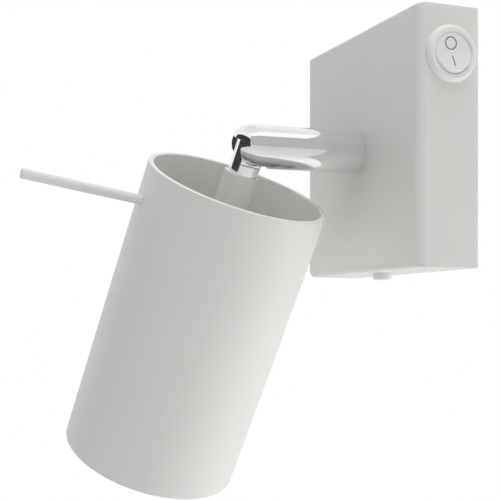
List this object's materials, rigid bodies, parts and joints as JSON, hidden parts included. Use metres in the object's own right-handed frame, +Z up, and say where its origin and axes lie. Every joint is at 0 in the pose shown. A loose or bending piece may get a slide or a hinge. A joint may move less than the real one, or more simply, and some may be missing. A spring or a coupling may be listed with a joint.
{
  "type": "pivoting spotlight wall light",
  "caption": "Wall spotlight: square white box with a side rocker switch, short turning chrome arm, ball joint, and an open tube head with a handle rod.",
  "frame": {"origin": "centre of the box's back face, on the wall", "axes": "-Y out of the wall, +X towards the side with the switch, +Z up"},
  "size_m": [0.1181, 0.1317, 0.1583],
  "materials": {
    "white_coat": "matt white powder coat on steel",
    "chrome": "polished chrome plate",
    "zinc_steel": "zinc-plated steel",
    "white_plastic": "moulded white plastic, soft gloss",
    "block_plastic": "natural nylon",
    "brass": "plain brass",
    "black_nylon": "black nylon",
    "rubber": "soft black rubber",
    "ceramic": "glazed steatite",
    "lamp_shell": "satin aluminium",
    "lamp_glass": "frosted front glass",
    "lead_cover": "lead insulation"
  },
  "bodies": {
    "box": {"base_cover": "white_coat", "rotation_stop": "zinc_steel", "wall_bracket": "zinc_steel", "cable_grommet": "rubber", "cover_screws": "white_coat", "terminal_block": "block_plastic", "terminal_tubes": "brass", "terminal_screws": "zinc_steel", "earth_screw": "brass", "earth_washer": "zinc_steel", "switch_body": "white_plastic", "switch_blades": "brass", "box_leads": "lead_cover"},
    "rocker": {"switch_rocker": "white_plastic"},
    "arm": {"arm": "chrome", "arm_base_ring": "chrome", "arm_bearing_washer": "black_nylon", "arm_stop_washer": "zinc_steel", "arm_spring_washer": "zinc_steel", "arm_nut": "zinc_steel", "hinge_pin": "chrome", "hinge_washers": "black_nylon", "arm_leads": "lead_cover"},
    "head": {"swivel_stub": "chrome", "stub_sleeve": "white_coat", "shade_tube": "white_coat", "handle_rod": "white_coat", "rear_screw": "white_coat", "bridge_nuts": "zinc_steel", "holder_bridge": "zinc_steel", "lock_nut": "zinc_steel", "holder_spacers": "zinc_steel", "holder_screws": "zinc_steel", "lamp_holder": "ceramic", "head_leads": "lead_cover"},
    "lamp": {"lamp_body": "lamp_shell", "lamp_lens": "lamp_glass", "lamp_pins": "brass"}
  },
  "joints": [
    {"name": "arm_turn", "type": "hinge", "parent": "box", "child": "arm", "pos_m": [0, -0.021, 0], "axis": [0, 1, 0], "range_deg": [-180, 130]},
    {"name": "head_tilt", "type": "hinge", "parent": "arm", "child": "head", "pos_m": [0, -0.0589, 0], "axis": [-0.9063, 0, 0.4226], "range_deg": [-15, 40]},
    {"name": "rocker_press", "type": "hinge", "parent": "box", "child": "rocker", "pos_m": [0.0395, -0.0097, 0.025], "axis": [0, 0.9781, 0.2079], "range_deg": [0, 14]},
    {"name": "lamp_twist", "type": "hinge", "parent": "head", "child": "lamp", "pos_m": [0, -0.0589, 0], "axis": [0.4162, 0.1736, 0.8925], "range_deg": [0, 25]}
  ]
}
